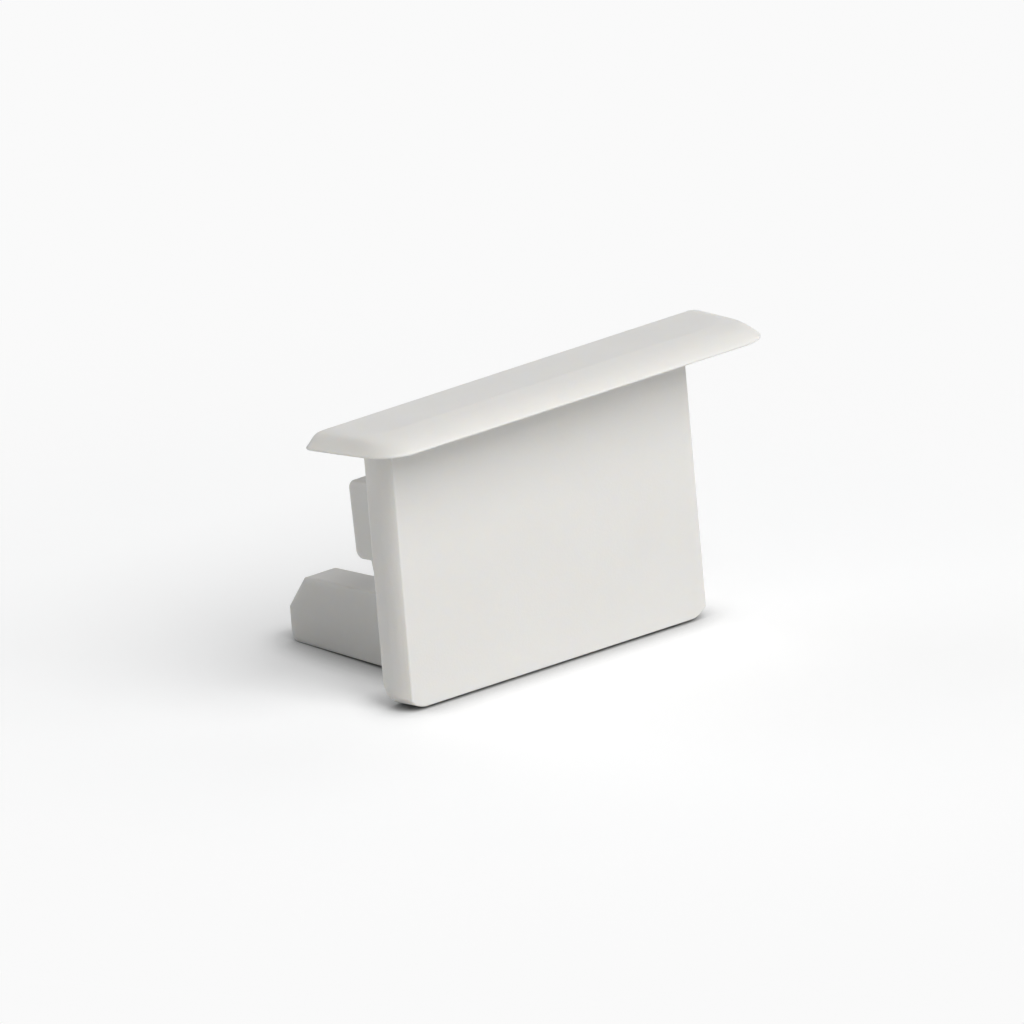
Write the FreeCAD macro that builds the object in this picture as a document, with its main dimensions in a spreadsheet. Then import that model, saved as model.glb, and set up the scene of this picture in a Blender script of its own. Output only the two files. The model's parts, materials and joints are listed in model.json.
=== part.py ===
import FreeCAD, Part
import math
import os

# End cap for an extruded profile, one injection moulding.
# The cap is drawn in its own axes: X along the flange, Y towards the profile, Z up the
# plate, with Y = 0 on the seat against the profile and Z = 0 at the foot of the plate.
# It is then laid as it stands by itself, leaning back on its foot and its two prongs.

doc = FreeCAD.newDocument("ProfileEndCap")

SIZES = [
    # plate that closes the profile's end
    ("plate_width", 22.85, "plate, side to side"),
    ("plate_height", 15.19, "foot of the plate to the underside of the flange"),
    ("plate_thick", 1.84, "seat to show face"),
    ("plate_corner", 1.55, "radius of the two lower corners"),
    ("plate_front_edge", 0.09, "rounding of the show face's edges"),
    ("plate_back_edge", 0.22, "rounding of the seat's edges"),
    ("side_start", 0.86, "seat to where each side begins to draw in"),
    ("side_draw", 0.45, "draw-in of each side at the show face"),
    ("side_round", 1.5, "radius of the drawn-in side"),
    # flange along the top
    ("flange_length", 30.0, "flange at its rear edge, end to end"),
    ("flange_depth", 6.33, "flange, front to rear"),
    ("flange_behind", 0.92, "rear edge of the flange behind the seat"),
    ("flange_rim", 0.12, "upright rim under the crown"),
    ("flange_rise", 0.83, "crown above the rim"),
    ("end_draw", 0.63, "each end's set-in at the front, against the rear"),
    ("front_corner", 2.1, "plan radius of the front corners"),
    ("rear_corner", 0.6, "plan radius of the rear corners"),
    ("rim_edge", 0.08, "rounding of the rim's lower edge"),
    # crown: how far it is drawn in at the shoulder, the brow, the ridge and the flat top
    ("shoulder_front", 0.33, "set-in at the shoulder, front"),
    ("shoulder_end", 0.3, "set-in at the shoulder, ends"),
    ("shoulder_rear", 0.1, "set-in at the shoulder, rear"),
    ("shoulder_rise", 0.28, "shoulder above the rim"),
    ("brow_front", 1.3, "set-in at the brow, front"),
    ("brow_end", 0.74, "set-in at the brow, ends"),
    ("brow_rear", 0.3, "set-in at the brow, rear"),
    ("brow_rise", 0.67, "brow above the rim"),
    ("ridge_front", 1.62, "set-in at the ridge, front"),
    ("ridge_end", 0.9, "set-in at the ridge, ends"),
    ("ridge_rear", 0.42, "set-in at the ridge, rear"),
    ("ridge_rise", 0.73, "ridge above the rim"),
    ("top_front", 2.2, "set-in at the flat top, front"),
    ("top_end", 1.41, "set-in at the flat top, ends"),
    ("top_rear", 0.7, "set-in at the flat top, rear"),
    ("shoulder_front_corner", 1.9, "plan radius of the shoulder's front corners"),
    ("shoulder_rear_corner", 0.5, "plan radius of the shoulder's rear corners"),
    ("brow_front_corner", 1.55, "plan radius of the brow's front corners"),
    ("brow_rear_corner", 0.42, "plan radius of the brow's rear corners"),
    ("ridge_front_corner", 1.45, "plan radius of the ridge's front corners"),
    ("ridge_rear_corner", 0.39, "plan radius of the ridge's rear corners"),
    ("top_front_corner", 1.3, "plan radius of the flat top's front corners"),
    ("top_rear_corner", 0.35, "plan radius of the flat top's rear corners"),
    # two prongs that plug into the profile
    ("prong_gap", 9.2, "clear space between the prongs"),
    ("prong_width", 2.44, "prong, side to side"),
    ("prong_length", 11.62, "seat to the end of the prong"),
    ("prong_foot_root", 0.25, "underside of the prong above the foot, at the seat"),
    ("prong_foot_tip", 1.17, "underside of the prong above the foot, at its end"),
    ("prong_top_root", 4.64, "top of the prong above the foot, at the seat"),
    ("prong_top_tip", 4.86, "top of the prong above the foot, at its end"),
    ("lead_in_length", 1.37, "lead-in slope, along the prong"),
    ("lead_in_drop", 1.76, "lead-in slope, down the end"),
    ("prong_toe", 0.55, "radius of the prong's lower end"),
    ("prong_edge", 0.14, "rounding of the prong's edges"),
    # two tabs above the prongs
    ("tab_inset", 1.15, "tab's outer side in from the plate's side"),
    ("tab_width", 2.0, "tab, side to side"),
    ("tab_bottom", 7.75, "underside of the tab above the foot"),
    ("tab_top", 12.18, "top of the tab above the foot"),
    ("tab_reach_top", 2.65, "seat to the tab's end, at its top"),
    ("tab_reach_bottom", 2.46, "seat to the tab's end, at its underside"),
    ("tab_corner", 0.5, "radius of the tab's two corners"),
    ("tab_edge", 0.2, "rounding of the tab's edges"),
    # low rib under each tab
    ("rib_inset", 0.5, "rib's outer side in from the tab's outer side"),
    ("rib_width", 1.0, "rib, side to side"),
    ("rib_bottom", 5.45, "lower end of the rib above the foot"),
    ("rib_reach_top", 1.8, "seat to the rib's edge, under the tab"),
    ("rib_reach_bottom", 1.4, "seat to the rib's edge, at its lower end"),
]

sheet = doc.addObject("Spreadsheet::Sheet", "sizes")
for row, (alias, value, note) in enumerate(SIZES, start=1):
    sheet.set("A%d" % row, note)
    sheet.set("B%d" % row, "%s" % value)
    sheet.setAlias("B%d" % row, alias)
doc.recompute()


def size(alias):
    """A named size, in millimetres."""
    return float(sheet.get(alias))


def role(body, name):
    """One of the body's own origin planes or axes."""
    for feature in body.Origin.OriginFeatures:
        if feature.Role == name:
            return feature
    raise RuntimeError("no " + name)


def new_sketch(body, name, plane, offset=None):
    """A sketch on one of the body's planes, set off along the plane's normal."""
    sketch = body.newObject("Sketcher::SketchObject", name)
    sketch.AttachmentSupport = [(role(body, plane), "")]
    sketch.MapMode = "FlatFace"
    if offset:
        sketch.setExpression("AttachmentOffset.Base.z", offset)
    return sketch


def point(x, y):
    return FreeCAD.Vector(x, y, 0)


def draw_loop(sketch, corners, radii):
    """Closed outline through the corners, each rounded by its radius (0 leaves it sharp).

    Returns the index of each side's line and of each corner's arc, or None."""
    count = len(corners)
    ends = []
    arcs = []
    for i in range(count):
        here = corners[i]
        back = (corners[i - 1] - here).normalize()
        ahead = (corners[(i + 1) % count] - here).normalize()
        radius = radii[i]
        if radius <= 0:
            ends.append((here, here))
            arcs.append(None)
            continue
        half = back.getAngle(ahead) / 2
        reach = radius / math.tan(half)
        middle = (back + ahead).normalize()
        centre = here + middle * (radius / math.sin(half))
        ends.append((here + back * reach, here + ahead * reach))
        nearest = centre - middle * radius
        arcs.append(Part.Arc(ends[i][0], nearest, ends[i][1]))
    lines = []
    for i in range(count):
        segment = Part.LineSegment(ends[i][1], ends[(i + 1) % count][0])
        lines.append(sketch.addGeometry(segment, False))
    rounds = []
    for arc in arcs:
        rounds.append(None if arc is None else sketch.addGeometry(arc, False))
    return lines, rounds


def join_loop(sketch, corners, lines, rounds):
    """Ties the outline's sides and rounds end to end, and its corners to the sides."""
    import Sketcher
    count = len(corners)
    marks = []
    for i in range(count):
        before = lines[i - 1]
        after = lines[i]
        if rounds[i] is None:
            sketch.addConstraint(Sketcher.Constraint("Coincident", before, 2, after, 1))
            marks.append((after, 1))
            continue
        arc = sketch.Geometry[rounds[i]]
        start = arc.StartPoint
        into = sketch.Geometry[before].EndPoint
        first, second = (1, 2) if start.distanceToPoint(into) < 1e-6 else (2, 1)
        sketch.addConstraint(Sketcher.Constraint("Tangent", before, 2, rounds[i], first))
        sketch.addConstraint(Sketcher.Constraint("Tangent", rounds[i], second, after, 1))
        mark = sketch.addGeometry(Part.Point(corners[i]), True)
        sketch.addConstraint(Sketcher.Constraint("PointOnObject", mark, 1, before))
        sketch.addConstraint(Sketcher.Constraint("PointOnObject", mark, 1, after))
        marks.append((mark, 1))
    return marks


def bind(sketch, kind, args, value, expression):
    """A dimension that follows the sheet."""
    import Sketcher
    index = sketch.addConstraint(Sketcher.Constraint(kind, *args, value))
    sketch.setExpression("Constraints[%d]" % index, expression)
    return index


def place_mark(sketch, mark, x, y, x_text, y_text):
    """Holds a corner at x and y, measured from the sketch's origin."""
    import Sketcher
    for kind, value, text in (("DistanceX", x, x_text), ("DistanceY", y, y_text)):
        if text is None:
            continue
        if abs(value) < 1e-9:
            axis = -2 if kind == "DistanceX" else -1
            sketch.addConstraint(Sketcher.Constraint("PointOnObject", mark[0], mark[1], axis))
        elif value > 0:
            bind(sketch, kind, (-1, 1, mark[0], mark[1]), value, text)
        else:
            bind(sketch, kind, (mark[0], mark[1], -1, 1), -value, "-(%s)" % text)


def outline(sketch, places, rounding):
    """A closed outline. Places are (x, y, x rule, y rule), rounding is (radius, rule)."""
    corners = [point(x, y) for x, y, _, _ in places]
    lines, rounds = draw_loop(sketch, corners, [radius for radius, _ in rounding])
    marks = join_loop(sketch, corners, lines, rounds)
    for mark, (x, y, x_text, y_text) in zip(marks, places):
        place_mark(sketch, mark, x, y, x_text, y_text)
    for arc, (radius, text) in zip(rounds, rounding):
        if arc is not None:
            bind(sketch, "Radius", (arc,), radius, text)


def plan_outline(body, name, height_text, front, end, rear, front_radius, rear_radius):
    """The flange's plan at one height, drawn in from the rim at front, ends and rear."""
    sketch = new_sketch(body, name, "XY_Plane", height_text)
    in_front = size(front) if front else 0.0
    in_end = size(end) if end else 0.0
    in_rear = size(rear) if rear else 0.0
    front_text = " + sizes." + front if front else ""
    end_text = " - sizes." + end if end else ""
    rear_text = " - sizes." + rear if rear else ""
    y_rear = size("flange_behind") - in_rear
    y_front = size("flange_behind") - size("flange_depth") + in_front
    draw = size("end_draw") / size("flange_depth")
    x_rear = size("flange_length") / 2 - in_end - draw * in_rear
    x_front = size("flange_length") / 2 - in_end - draw * (size("flange_depth") - in_front)
    y_rear_text = "sizes.flange_behind" + rear_text
    y_front_text = "sizes.flange_behind - sizes.flange_depth" + front_text
    draw_text = "sizes.end_draw / sizes.flange_depth"
    in_rear_text = "sizes." + rear if rear else "0"
    in_front_text = "sizes." + front if front else "0"
    x_rear_text = "sizes.flange_length / 2%s - %s * %s" % (end_text, draw_text, in_rear_text)
    x_front_text = "sizes.flange_length / 2%s - %s * (sizes.flange_depth - %s)" % (
        end_text, draw_text, in_front_text)
    places = [
        (-x_front, y_front, "-(%s)" % x_front_text, y_front_text),
        (x_front, y_front, x_front_text, y_front_text),
        (x_rear, y_rear, x_rear_text, y_rear_text),
        (-x_rear, y_rear, "-(%s)" % x_rear_text, y_rear_text),
    ]
    front_round = (size(front_radius), "sizes." + front_radius)
    rear_round = (size(rear_radius), "sizes." + rear_radius)
    outline(sketch, places, [front_round, front_round, rear_round, rear_round])
    return sketch


def edges_where(feature, test):
    """Names of the feature's edges that pass the test."""
    names = []
    for index, edge in enumerate(feature.Shape.Edges, start=1):
        if test(edge):
            names.append("Edge%d" % index)
    return names


def round_edges(body, name, base, names, radius):
    """A rounding of the named edges, its radius taken from the sheet."""
    fillet = body.newObject("PartDesign::Fillet", name)
    fillet.Base = (base, names)
    fillet.Radius = size(radius)
    fillet.setExpression("Radius", "sizes." + radius)
    doc.recompute()
    return fillet


def all_at(edge, coordinate, value, slack=1e-4):
    """True where the whole edge lies at one value of a coordinate."""
    box = edge.BoundBox
    low = getattr(box, coordinate + "Min")
    high = getattr(box, coordinate + "Max")
    return abs(low - value) < slack and abs(high - value) < slack


def side_loop(sketch, side):
    """What comes off one side of the plate: a curved draw-in that ends on the show face."""
    import Sketcher
    sign = "" if side > 0 else "-"
    thick = size("plate_thick")
    side_x = size("plate_width") / 2
    inner_x = side_x - size("side_draw")
    outer_x = side_x + thick
    side_text = sign + "(sizes.plate_width / 2)"
    inner_text = sign + "(sizes.plate_width / 2 - sizes.side_draw)"
    outer_text = sign + "(sizes.plate_width / 2 + sizes.plate_thick)"
    start_y = -size("side_start")
    places = [
        (side * inner_x, -thick, inner_text, "-sizes.plate_thick"),
        (side * inner_x, -2 * thick, inner_text, "-2 * sizes.plate_thick"),
        (side * outer_x, -2 * thick, outer_text, "-2 * sizes.plate_thick"),
        (side * outer_x, start_y, outer_text, "-sizes.side_start"),
        (side * side_x, start_y, side_text, "-sizes.side_start"),
    ]
    corners = [point(x, y) for x, y, _, _ in places]
    lines = []
    for near, far in zip(corners, corners[1:]):
        lines.append(sketch.addGeometry(Part.LineSegment(near, far), False))
    start, end = corners[-1], corners[0]
    chord = end - start
    outward = point(-side * chord.y, side * chord.x).normalize()
    radius = size("side_round")
    depth = math.sqrt(radius ** 2 - (chord.Length / 2) ** 2)
    nearest = (start + end) * 0.5 + outward * (radius - depth)
    low, top = (end, start) if side > 0 else (start, end)
    curve = sketch.addGeometry(Part.Arc(low, nearest, top), False)
    for before, after in zip(lines, lines[1:]):
        sketch.addConstraint(Sketcher.Constraint("Coincident", before, 2, after, 1))
    first, second = 1, 2
    if sketch.Geometry[curve].StartPoint.distanceToPoint(start) > 1e-6:
        first, second = 2, 1
    sketch.addConstraint(Sketcher.Constraint("Coincident", lines[-1], 2, curve, first))
    sketch.addConstraint(Sketcher.Constraint("Coincident", curve, second, lines[0], 1))
    marks = [(line, 1) for line in lines] + [(lines[-1], 2)]
    for mark, (x, y, x_text, y_text) in zip(marks, places):
        place_mark(sketch, mark, x, y, x_text, y_text)
    bind(sketch, "Radius", (curve,), radius, "sizes.side_round")


cap = doc.addObject("PartDesign::Body", "Cap")
cap.Label = "end_cap"
doc.recompute()

# Plate: a flat tongue with two rounded lower corners.
plate_sketch = new_sketch(cap, "PlateOutline", "XZ_Plane")
half = size("plate_width") / 2
high = size("plate_height")
corner = (size("plate_corner"), "sizes.plate_corner")
outline(
    plate_sketch,
    [
        (-half, 0.0, "-sizes.plate_width / 2", "0"),
        (half, 0.0, "sizes.plate_width / 2", "0"),
        (half, high, "sizes.plate_width / 2", "sizes.plate_height"),
        (-half, high, "-sizes.plate_width / 2", "sizes.plate_height"),
    ],
    [corner, corner, (0, ""), (0, "")],
)
plate = cap.newObject("PartDesign::Pad", "Plate")
plate.Profile = plate_sketch
plate.Length = size("plate_thick")
plate.setExpression("Length", "sizes.plate_thick")
doc.recompute()
front_y = plate.Shape.BoundBox.YMin
if abs(front_y + size("plate_thick")) > 1e-6:
    plate.Reversed = True
    doc.recompute()
    front_y = plate.Shape.BoundBox.YMin



def show_face_edge(edge):
    return all_at(edge, "Y", front_y) and not all_at(edge, "Z", high)


def seat_edge(edge):
    return all_at(edge, "Y", 0.0) and not all_at(edge, "Z", high)


plate_back = round_edges(
    cap, "SeatEdges", plate, edges_where(plate, seat_edge), "plate_back_edge")

# Each side draws in towards the show face, in a curve that ends there in a clean edge.
side_sketch = new_sketch(cap, "SideCurve", "XY_Plane")
side_loop(side_sketch, 1)
side_loop(side_sketch, -1)
full_plate = plate_back.Shape.Volume
drawn_sides = cap.newObject("PartDesign::Pocket", "DrawnSides")
drawn_sides.Profile = side_sketch
drawn_sides.Type = "ThroughAll"
doc.recompute()
if drawn_sides.Shape.Volume > full_plate - 1e-3:
    drawn_sides.Reversed = True
    doc.recompute()
plate_front = round_edges(
    cap, "ShowFaceEdges", drawn_sides, edges_where(drawn_sides, show_face_edge),
    "plate_front_edge")

# Flange: an upright rim, then a crown drawn in more at the front than at the ends and rear.
rim_sketch = plan_outline(
    cap, "RimOutline", "sizes.plate_height", None, None, None, "front_corner", "rear_corner")
rim = cap.newObject("PartDesign::Pad", "Rim")
rim.Profile = rim_sketch
rim.Length = size("flange_rim")
rim.setExpression("Length", "sizes.flange_rim")
doc.recompute()

RIM_TOP = "sizes.plate_height + sizes.flange_rim"
crown_foot = plan_outline(
    cap, "CrownFoot", RIM_TOP, None, None, None, "front_corner", "rear_corner")
shoulder = plan_outline(
    cap, "CrownShoulder", RIM_TOP + " + sizes.shoulder_rise",
    "shoulder_front", "shoulder_end", "shoulder_rear",
    "shoulder_front_corner", "shoulder_rear_corner")
brow = plan_outline(
    cap, "CrownBrow", RIM_TOP + " + sizes.brow_rise",
    "brow_front", "brow_end", "brow_rear", "brow_front_corner", "brow_rear_corner")
ridge = plan_outline(
    cap, "CrownRidge", RIM_TOP + " + sizes.ridge_rise",
    "ridge_front", "ridge_end", "ridge_rear", "ridge_front_corner", "ridge_rear_corner")
flat_top = plan_outline(
    cap, "FlatTop", RIM_TOP + " + sizes.flange_rise",
    "top_front", "top_end", "top_rear", "top_front_corner", "top_rear_corner")
doc.recompute()
crown = cap.newObject("PartDesign::AdditiveLoft", "Crown")
crown.Profile = crown_foot
crown.Sections = [shoulder, brow, ridge, flat_top]
crown.Ruled = False
doc.recompute()

# Prong: side view with a drafted underside, a sloped lead-in and a round toe.
side_x = "sizes.prong_gap / 2"
prong_sketch = new_sketch(cap, "ProngSide", "YZ_Plane", side_x)
reach = size("prong_length")
outline(
    prong_sketch,
    [
        (0.0, size("prong_foot_root"), "0", "sizes.prong_foot_root"),
        (reach, size("prong_foot_tip"), "sizes.prong_length", "sizes.prong_foot_tip"),
        (reach, size("prong_top_tip") - size("lead_in_drop"),
         "sizes.prong_length", "sizes.prong_top_tip - sizes.lead_in_drop"),
        (reach - size("lead_in_length"), size("prong_top_tip"),
         "sizes.prong_length - sizes.lead_in_length", "sizes.prong_top_tip"),
        (0.0, size("prong_top_root"), "0", "sizes.prong_top_root"),
    ],
    [(0, ""), (size("prong_toe"), "sizes.prong_toe"), (0, ""), (0, ""), (0, "")],
)
prong = cap.newObject("PartDesign::Pad", "Prong")
prong.Profile = prong_sketch
prong.Length = size("prong_width")
prong.setExpression("Length", "sizes.prong_width")
doc.recompute()

# Tab above the prong, and the low rib that runs down from it.
tab_x = "sizes.plate_width / 2 - sizes.tab_inset - sizes.tab_width"
tab_sketch = new_sketch(cap, "TabSide", "YZ_Plane", tab_x)
tab_round = (size("tab_corner"), "sizes.tab_corner")
outline(
    tab_sketch,
    [
        (0.0, size("tab_bottom"), "0", "sizes.tab_bottom"),
        (size("tab_reach_bottom"), size("tab_bottom"), "sizes.tab_reach_bottom", "sizes.tab_bottom"),
        (size("tab_reach_top"), size("tab_top"), "sizes.tab_reach_top", "sizes.tab_top"),
        (0.0, size("tab_top"), "0", "sizes.tab_top"),
    ],
    [(0, ""), tab_round, tab_round, (0, "")],
)
tab = cap.newObject("PartDesign::Pad", "Tab")
tab.Profile = tab_sketch
tab.Length = size("tab_width")
tab.setExpression("Length", "sizes.tab_width")
doc.recompute()

rib_x = "sizes.plate_width / 2 - sizes.tab_inset - sizes.rib_inset - sizes.rib_width"
rib_sketch = new_sketch(cap, "RibSide", "YZ_Plane", rib_x)
outline(
    rib_sketch,
    [
        (0.0, size("rib_bottom"), "0", "sizes.rib_bottom"),
        (size("rib_reach_bottom"), size("rib_bottom"), "sizes.rib_reach_bottom", "sizes.rib_bottom"),
        (size("rib_reach_top"), size("tab_bottom"), "sizes.rib_reach_top", "sizes.tab_bottom"),
        (0.0, size("tab_bottom"), "0", "sizes.tab_bottom"),
    ],
    [(0, ""), (0, ""), (0, ""), (0, "")],
)
rib = cap.newObject("PartDesign::Pad", "Rib")
rib.Profile = rib_sketch
rib.Length = size("rib_width")
rib.setExpression("Length", "sizes.rib_width")
doc.recompute()

# The other side is the mirror image.
pair = cap.newObject("PartDesign::Mirrored", "OtherSide")
pair.Originals = [prong, tab, rib]
pair.MirrorPlane = (role(cap, "YZ_Plane"), [""])
cap.Tip = pair
doc.recompute()


def between(edge, near, far):
    """True where the whole edge lies between two distances from the middle."""
    box = edge.BoundBox
    low = min(abs(box.XMin), abs(box.XMax))
    high = max(abs(box.XMin), abs(box.XMax))
    return box.XMin * box.XMax > 0 and low > near - 1e-4 and high < far + 1e-4


def prong_edge(edge):
    near = size("prong_gap") / 2
    box = edge.BoundBox
    if not between(edge, near, near + size("prong_width")) or all_at(edge, "Y", 0.0):
        return False
    tallest = max(size("prong_top_tip"), size("prong_top_root"))
    return box.YMin > -1e-4 and box.YMax > 1e-3 and box.ZMax < tallest + 1e-3


def tab_edge(edge):
    """The outline of each of the tab's two sides, but not its foot on the plate."""
    far = size("plate_width") / 2 - size("tab_inset")
    near = far - size("tab_width")
    box = edge.BoundBox
    if not (between(edge, near, near) or between(edge, far, far)):
        return False
    if box.ZMin < size("tab_bottom") - 1e-3 or box.ZMax > size("tab_top") + 1e-3:
        return False
    return box.YMin > -1e-4 and not all_at(edge, "Y", 0.0)


def rim_low_edge(edge):
    """The rim's outline at its underside, outside the plate."""
    box = edge.BoundBox
    if not all_at(edge, "Z", high):
        return False
    outside_plate = max(abs(box.XMin), abs(box.XMax)) > half + 1e-3
    return outside_plate or box.YMin > 1e-3 or box.YMax < front_y - 1e-3


soft_prongs = round_edges(cap, "ProngEdges", pair, edges_where(pair, prong_edge), "prong_edge")
soft_tabs = round_edges(
    cap, "TabEdges", soft_prongs, edges_where(soft_prongs, tab_edge), "tab_edge")
soft_rim = round_edges(
    cap, "RimEdge", soft_tabs, edges_where(soft_tabs, rim_low_edge), "rim_edge")
cap.Tip = soft_rim
doc.recompute()

# The cap stands by itself on the foot of its plate and the toes of its prongs: the floor is
# the line that touches both roundings from below.
back_edge = size("plate_back_edge")
toe = size("prong_toe")
foot_slope = math.atan2(size("prong_foot_tip") - size("prong_foot_root"), reach)
toe_y = reach - toe
toe_z = size("prong_foot_root") + math.tan(foot_slope) * toe_y + toe / math.cos(foot_slope)
run = toe_y + back_edge
rise = toe_z - back_edge
lean = math.atan2(rise, run) - math.asin((toe - back_edge) / math.hypot(run, rise))
turn = FreeCAD.Rotation(FreeCAD.Vector(1, 0, 0), -math.degrees(lean))
cap.Placement = FreeCAD.Placement(FreeCAD.Vector(0, 0, 0), turn)
doc.recompute()
box = cap.Shape.optimalBoundingBox(False, False)
cap.Placement = FreeCAD.Placement(
    FreeCAD.Vector(0, -(box.YMin + box.YMax) / 2, -box.ZMin), turn)
doc.recompute()

for item in doc.Objects:
    if "Invalid" in item.State or "Error" in item.State:
        raise RuntimeError("failed: " + item.Name)
for body in [cap]:
    if body.Shape.isNull() or not body.Shape.isValid() or len(body.Shape.Solids) != 1:
        raise RuntimeError("bad shape: " + body.Label)

os.makedirs("parts", exist_ok=True)
for body in [cap]:
    body.Shape.exportStep("parts/%s.step" % body.Label)
    solid = body.Shape
    extent = solid.optimalBoundingBox(False, False)
    print(body.Label, "volume", round(solid.Volume, 2), "faces", len(solid.Faces))
    print("lean", round(math.degrees(lean), 4), "at", body.Placement.Base, extent)
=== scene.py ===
import json
import math

import bmesh
import bpy
from mathutils import Matrix, Vector


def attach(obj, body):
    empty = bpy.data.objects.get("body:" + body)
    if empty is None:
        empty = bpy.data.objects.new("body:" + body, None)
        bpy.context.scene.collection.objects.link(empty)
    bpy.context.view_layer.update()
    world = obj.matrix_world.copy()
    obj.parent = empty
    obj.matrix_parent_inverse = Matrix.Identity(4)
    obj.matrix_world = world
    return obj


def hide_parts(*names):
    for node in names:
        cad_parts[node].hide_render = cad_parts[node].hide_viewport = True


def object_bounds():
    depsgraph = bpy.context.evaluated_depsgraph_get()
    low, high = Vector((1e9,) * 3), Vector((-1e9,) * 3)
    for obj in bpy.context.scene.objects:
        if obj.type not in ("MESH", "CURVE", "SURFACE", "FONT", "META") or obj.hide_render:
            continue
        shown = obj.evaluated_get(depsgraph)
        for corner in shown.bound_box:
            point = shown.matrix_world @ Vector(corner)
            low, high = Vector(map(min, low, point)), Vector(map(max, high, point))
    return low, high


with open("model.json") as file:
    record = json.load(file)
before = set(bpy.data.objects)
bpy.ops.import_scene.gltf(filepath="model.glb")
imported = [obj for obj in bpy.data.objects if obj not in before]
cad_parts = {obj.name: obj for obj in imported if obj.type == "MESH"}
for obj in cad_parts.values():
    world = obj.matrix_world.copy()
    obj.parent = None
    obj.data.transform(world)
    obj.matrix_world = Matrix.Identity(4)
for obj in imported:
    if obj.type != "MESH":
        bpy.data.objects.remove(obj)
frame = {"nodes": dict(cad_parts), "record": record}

# Metres throughout, in the part's own frame: X along the flange, -Y out of the show face, Z up.
MM = 0.001
WHITE = (1.0, 1.0, 1.0, 1.0)
CAD_LOW, CAD_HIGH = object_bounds()

# The middle of the seat, where the plate's rear face lies against the profile.
SEAT = next(m for m in frame["record"]["mounts"] if m["name"] == "profile_seat")
SEAT_CENTRE = Vector(SEAT["pos_m"])

# The photograph is square and has next to no perspective, so the camera is orthographic.
PHOTO_SIDE = 1024
PIXELS_PER_MM = 18.576
VIEW_AZIMUTH = math.radians(-43.727)
VIEW_ELEVATION = math.radians(18.958)
VIEW_ROLL = math.radians(-0.824)
VIEW_RIGHT_OF_SEAT = -0.688 * MM
VIEW_ABOVE_SEAT = 0.573 * MM
CAMERA_DISTANCE = 400 * MM
CAMERA_SEES_FROM = 1 * MM
CAMERA_SEES_TO = 20

# The plastic: a warm off-white, satin, faintly translucent at thin edges.
PLASTIC = (0.747, 0.738, 0.716, 1.0)
PLASTIC_DEEP = (0.727, 0.717, 0.691, 1.0)
PLASTIC_IOR = 1.46
PLASTIC_GLOSS = 0.4
GLOW_WEIGHT = 0.6
GLOW_DEPTH = 0.7 * MM
GLOW_BY_COLOUR = (1.0, 0.85, 0.65)
CLOUD_SCALE = 260
CLOUD_DETAIL = 3
CLOUD_LOW, CLOUD_HIGH = 0.3, 0.7
ROUGHNESS_LOW, ROUGHNESS_HIGH = 0.40, 0.50
GRAIN_SCALE = 8000
GRAIN_DETAIL = 2
GRAIN_STRENGTH = 0.3
GRAIN_DEPTH = 0.02 * MM

# How far light rolls over the edges, and where the softer edges of the tabs and prongs start.
EDGE_SOFTNESS = 0.08 * MM
TAB_SOFTNESS = 0.30 * MM
PRONG_END_SOFTNESS = 0.55 * MM
TAB_FOOT = 7.0 * MM
TAB_START = -1.6 * MM
PRONG_END_START = 1.0 * MM
PRONG_END = 7.0 * MM
ROLL_SAMPLES = 6
SMOOTH_ANGLE = math.radians(52)
MERGE_DISTANCE = 0.0005 * MM

# A matt white card. Far from the cap it is seen as plain white; at the cap's foot its seen
# colour is darkened with painted shade.
FLOOR_HALF = 4.0
FLOOR_COLOUR = (0.80, 0.80, 0.80, 1.0)
FLOOR_SEEN = (0.73, 0.73, 0.73, 1.0)
# Painted shade: the colour the card is seen in right at the cap's foot, where occlusion is full.
FLOOR_PAINTED_SHADE = (0.15, 0.15, 0.15, 1.0)
FLOOR_CLEAR = 0.85
FLOOR_NEAR = 2.5 * MM
FLOOR_NEAR_SAMPLES = 8
FLOOR_LIFT = 0.345
FLOOR_LIFT_FALL = 2.0
FLOOR_WHITE = 0.955
FLOOR_FADE_START = 0.02
FLOOR_FADE_END = 0.06
WORLD_STRENGTH = 0.005

# Soft boxes: name, direction they stand in, power in watts, colour.
LAMP_DISTANCE = 1.2
LAMP_SIDE = 0.8
LAMPS = [
    ("front_high", (0.00, -0.70, 0.80), 10.3, (1.0, 1.0, 1.0)),
    ("front_low", (-0.15, -1.00, 0.22), 1.4, (0.99, 0.99, 1.0)),
    ("front_right", (0.60, -0.75, 0.55), 3.4, (1.0, 1.0, 1.0)),
    ("left_low", (-1.00, -0.10, 0.25), 1.3, (1.0, 0.99, 0.97)),
    ("right_high", (0.80, 0.00, 0.80), 1.9, (1.0, 1.0, 1.0)),
    ("rear_right_high", (0.50, 0.60, 0.90), 1.1, (0.97, 0.98, 1.0)),
    ("rear_left", (-0.60, 0.80, 0.40), 3.5, (0.96, 0.98, 1.0)),
]


def view_axes(azimuth, elevation, roll):
    """The picture's right and up, and the way back to the camera."""
    level = Vector((math.cos(azimuth), math.sin(azimuth), 0))
    back = Vector((
        math.sin(azimuth) * math.cos(elevation),
        -math.cos(azimuth) * math.cos(elevation),
        math.sin(elevation),
    ))
    right = Matrix.Rotation(roll, 3, back) @ level
    return right, back.cross(right), back


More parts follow.
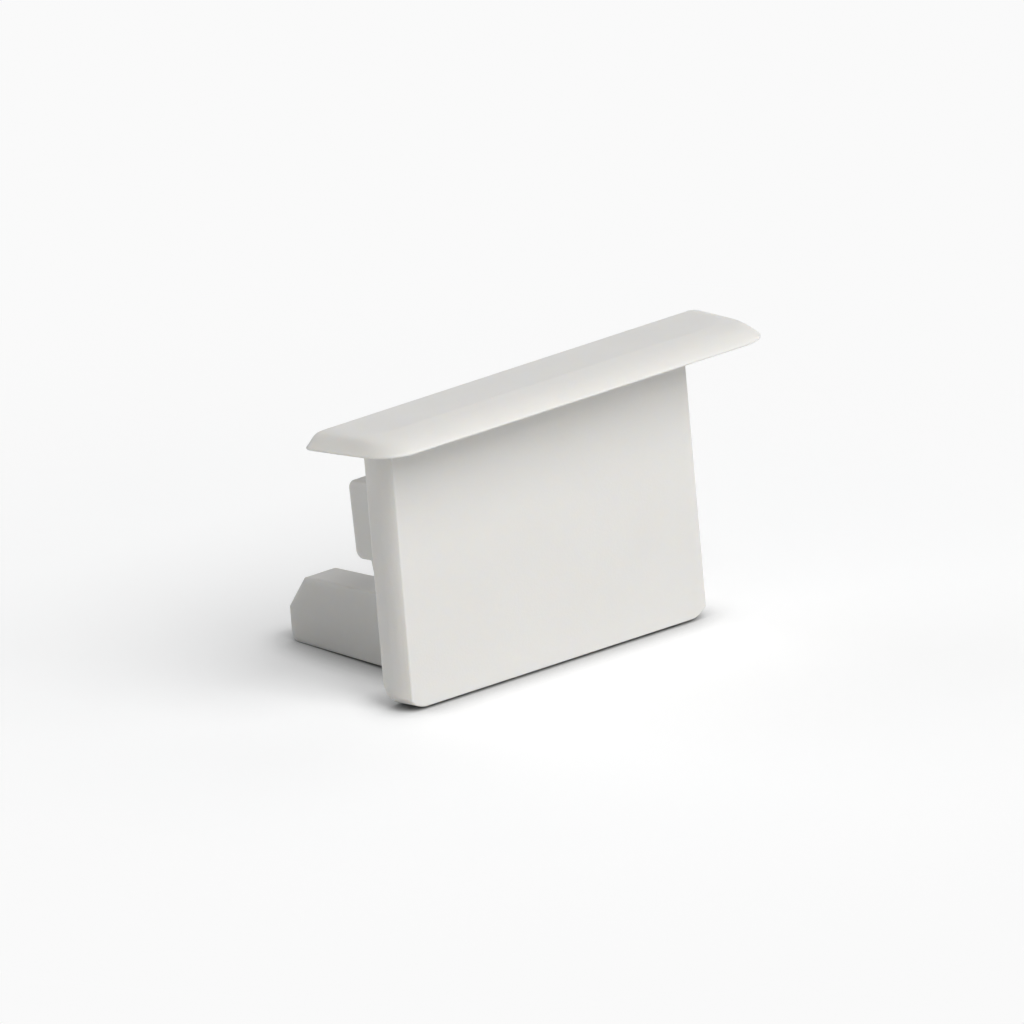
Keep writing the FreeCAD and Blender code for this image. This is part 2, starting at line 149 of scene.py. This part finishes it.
def place_camera():
    """The camera at the photograph's angle, with the seat where the photograph has it."""
    right, up, back = view_axes(VIEW_AZIMUTH, VIEW_ELEVATION, VIEW_ROLL)
    data = bpy.data.cameras.new("camera")
    data.type = "ORTHO"
    data.ortho_scale = PHOTO_SIDE / PIXELS_PER_MM * MM
    data.clip_start = CAMERA_SEES_FROM
    data.clip_end = CAMERA_SEES_TO
    camera = bpy.data.objects.new("camera", data)
    bpy.context.collection.objects.link(camera)
    aim = SEAT_CENTRE + right * VIEW_RIGHT_OF_SEAT + up * VIEW_ABOVE_SEAT
    turn = Matrix((right, up, back)).transposed().to_4x4()
    camera.matrix_world = Matrix.Translation(aim + back * CAMERA_DISTANCE) @ turn
    bpy.context.scene.camera = camera


class Nodes:
    """Short hand for the node tree of a material or of the world."""

    def __init__(self, owner):
        owner.use_nodes = True
        self.tree = owner.node_tree
        self.tree.nodes.clear()

    def add(self, kind, inputs=None, **settings):
        """A node with its settings, and its input sockets set or linked, by name or number."""
        node = self.tree.nodes.new(kind)
        for name, value in settings.items():
            setattr(node, name, value)
        for socket, value in (inputs or {}).items():
            if isinstance(value, bpy.types.NodeSocket):
                self.tree.links.new(value, node.inputs[socket])
            else:
                node.inputs[socket].default_value = value
        return node

    def math(self, operation, first, second):
        """The result of a sum on two values or sockets."""
        node = self.add("ShaderNodeMath", {0: first, 1: second}, operation=operation)
        return node.outputs[0]

    def mix_colour(self, share, first, second):
        """A colour between two others."""
        inputs = {"Factor": share, "A": first, "B": second}
        node = self.add("ShaderNodeMix", inputs, data_type="RGBA")
        return node.outputs["Result"]

    def mix_shader(self, share, first, second):
        """A shader between two others."""
        node = self.add("ShaderNodeMixShader", {"Fac": share, 1: first, 2: second})
        return node.outputs[0]


def rays_seen(nodes):
    """1 for the rays that the camera sees, straight or in a gloss, and 0 for the rest."""
    rays = nodes.add("ShaderNodeLightPath").outputs
    straight_or_gloss = nodes.math("MAXIMUM", rays["Is Camera Ray"], rays["Is Glossy Ray"])
    return nodes.math("MAXIMUM", straight_or_gloss, rays["Is Transmission Ray"])


def edge_softness(nodes, place):
    """How far light rolls over the edges: little on the plate, most at the prongs' ends."""
    axes = nodes.add("ShaderNodeSeparateXYZ", {"Vector": place}).outputs
    to_end = nodes.add("ShaderNodeMapRange", {
        "Value": axes["Y"],
        "From Min": PRONG_END_START,
        "From Max": PRONG_END,
        "To Min": EDGE_SOFTNESS,
        "To Max": PRONG_END_SOFTNESS,
    }, interpolation_type="SMOOTHSTEP")
    behind_plate = nodes.math("GREATER_THAN", axes["Y"], TAB_START)
    above_prong = nodes.math("GREATER_THAN", axes["Z"], TAB_FOOT)
    on_tab = nodes.math("MULTIPLY", behind_plate, above_prong)
    tab_softness = nodes.math("MULTIPLY", on_tab, TAB_SOFTNESS)
    return nodes.math("MAXIMUM", to_end.outputs["Result"], tab_softness)


def moulded_plastic():
    """Satin off-white plastic with a faint cloudiness and a fine spark-eroded grain."""
    material = bpy.data.materials.new("moulded_plastic")
    nodes = Nodes(material)
    place = nodes.add("ShaderNodeTexCoord").outputs["Object"]

    cloud = nodes.add("ShaderNodeTexNoise", {
        "Vector": place,
        "Scale": CLOUD_SCALE,
        "Detail": CLOUD_DETAIL,
    }).outputs["Fac"]
    wear = nodes.add("ShaderNodeMapRange", {
        "Value": cloud,
        "From Min": CLOUD_LOW,
        "From Max": CLOUD_HIGH,
        "To Min": ROUGHNESS_LOW,
        "To Max": ROUGHNESS_HIGH,
    })

    grain = nodes.add("ShaderNodeTexNoise", {
        "Vector": place,
        "Scale": GRAIN_SCALE,
        "Detail": GRAIN_DETAIL,
    })
    rolled = nodes.add("ShaderNodeBevel", {
        "Radius": edge_softness(nodes, place),
    }, samples=ROLL_SAMPLES)
    bump = nodes.add("ShaderNodeBump", {
        "Strength": GRAIN_STRENGTH,
        "Distance": GRAIN_DEPTH,
        "Height": grain.outputs["Fac"],
        "Normal": rolled.outputs["Normal"],
    })

    shader = nodes.add("ShaderNodeBsdfPrincipled", {
        "Base Color": nodes.mix_colour(cloud, PLASTIC, PLASTIC_DEEP),
        "Roughness": wear.outputs["Result"],
        "Normal": bump.outputs["Normal"],
        "IOR": PLASTIC_IOR,
        "Specular IOR Level": PLASTIC_GLOSS,
        "Subsurface Weight": GLOW_WEIGHT,
        "Subsurface Radius": GLOW_BY_COLOUR,
        "Subsurface Scale": GLOW_DEPTH,
    })
    nodes.add("ShaderNodeOutputMaterial", {"Surface": shader.outputs["BSDF"]})
    return material


def pale_floor():
    """A card that is seen a little whiter than it is, and darkened with painted shade at the
    cap's foot.
    """
    material = bpy.data.materials.new("pale_floor")
    nodes = Nodes(material)
    any_seen = rays_seen(nodes)

    # Painted shade: where ambient occlusion finds the cap close by, the card is seen darker,
    # down to the painted-shade colour, and the white lift is held back there.
    open_sky = nodes.add("ShaderNodeAmbientOcclusion", {
        "Distance": FLOOR_NEAR,
    }, samples=FLOOR_NEAR_SAMPLES).outputs["AO"]
    clear_of_painted_shade = nodes.add("ShaderNodeMapRange", {
        "Value": open_sky,
        "From Max": FLOOR_CLEAR,
    })
    card_seen_with_painted_shade = nodes.mix_colour(clear_of_painted_shade.outputs["Result"], FLOOR_PAINTED_SHADE, FLOOR_SEEN)
    card = nodes.add("ShaderNodeBsdfDiffuse", {
        "Color": nodes.mix_colour(any_seen, FLOOR_COLOUR, card_seen_with_painted_shade),
    })

    clear = nodes.math("POWER", open_sky, FLOOR_LIFT_FALL)
    clear_and_seen = nodes.math("MULTIPLY", clear, any_seen)
    lift = nodes.add("ShaderNodeEmission", {
        "Color": WHITE,
        "Strength": nodes.math("MULTIPLY", clear_and_seen, FLOOR_LIFT),
    })
    near = nodes.add("ShaderNodeAddShader", {0: card.outputs[0], 1: lift.outputs[0]})

    far = nodes.add("ShaderNodeEmission", {"Color": WHITE, "Strength": FLOOR_WHITE})
    place = nodes.add("ShaderNodeTexCoord").outputs["Object"]
    distance = nodes.add("ShaderNodeVectorMath", {0: place}, operation="LENGTH")
    fade = nodes.add("ShaderNodeMapRange", {
        "Value": distance.outputs["Value"],
        "From Min": FLOOR_FADE_START,
        "From Max": FLOOR_FADE_END,
    }, interpolation_type="SMOOTHSTEP")
    share = nodes.math("MULTIPLY", fade.outputs["Result"], any_seen)
    both = nodes.mix_shader(share, near.outputs[0], far.outputs[0])
    nodes.add("ShaderNodeOutputMaterial", {"Surface": both})
    return material


def lay_floor():
    """The card that the cap stands on."""
    bm = bmesh.new()
    bmesh.ops.create_grid(bm, x_segments=1, y_segments=1, size=FLOOR_HALF)
    mesh = bpy.data.meshes.new("floor")
    bm.to_mesh(mesh)
    bm.free()
    floor = bpy.data.objects.new("floor", mesh)
    bpy.context.collection.objects.link(floor)
    mesh.materials.append(pale_floor())


def light_room():
    """A dim room that is seen as plain white."""
    world = bpy.data.worlds.new("room")
    bpy.context.scene.world = world
    nodes = Nodes(world)
    around = nodes.add("ShaderNodeBackground", {"Color": WHITE, "Strength": WORLD_STRENGTH})
    seen = nodes.add("ShaderNodeBackground", {"Color": WHITE, "Strength": FLOOR_WHITE})
    both = nodes.mix_shader(rays_seen(nodes), around.outputs[0], seen.outputs[0])
    nodes.add("ShaderNodeOutputWorld", {"Surface": both})


def hang_lamp(name, direction, power, colour):
    """A square soft box that faces the cap."""
    data = bpy.data.lights.new("lamp_" + name, "AREA")
    data.shape = "SQUARE"
    data.size = LAMP_SIDE
    data.energy = power
    data.color = colour
    lamp = bpy.data.objects.new("lamp_" + name, data)
    bpy.context.collection.objects.link(lamp)
    away = Vector(direction).normalized()
    lamp.location = (CAD_LOW + CAD_HIGH) / 2 + away * LAMP_DISTANCE
    lamp.rotation_mode = "QUATERNION"
    lamp.rotation_quaternion = away.to_track_quat("Z", "Y")


def finished_cap():
    """The moulding with its roundings shaded smooth."""
    bm = bmesh.new()
    bm.from_mesh(frame["nodes"]["end_cap"].data)
    bmesh.ops.remove_doubles(bm, verts=bm.verts, dist=MERGE_DISTANCE)
    for face in bm.faces:
        face.smooth = True
    for edge in bm.edges:
        edge.smooth = edge.is_manifold and edge.calc_face_angle() < SMOOTH_ANGLE
    mesh = bpy.data.meshes.new("cap_shell")
    bm.to_mesh(mesh)
    bm.free()
    cap = bpy.data.objects.new("cap_shell", mesh)
    bpy.context.collection.objects.link(cap)
    even = cap.modifiers.new("even_shading", "WEIGHTED_NORMAL")
    even.mode = "FACE_AREA"
    even.keep_sharp = True
    mesh.materials.append(moulded_plastic())
    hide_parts("end_cap")
    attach(cap, "root")


bpy.context.scene.view_settings.view_transform = "Standard"
place_camera()
lay_floor()
light_room()
for lamp in LAMPS:
    hang_lamp(*lamp)
finished_cap()
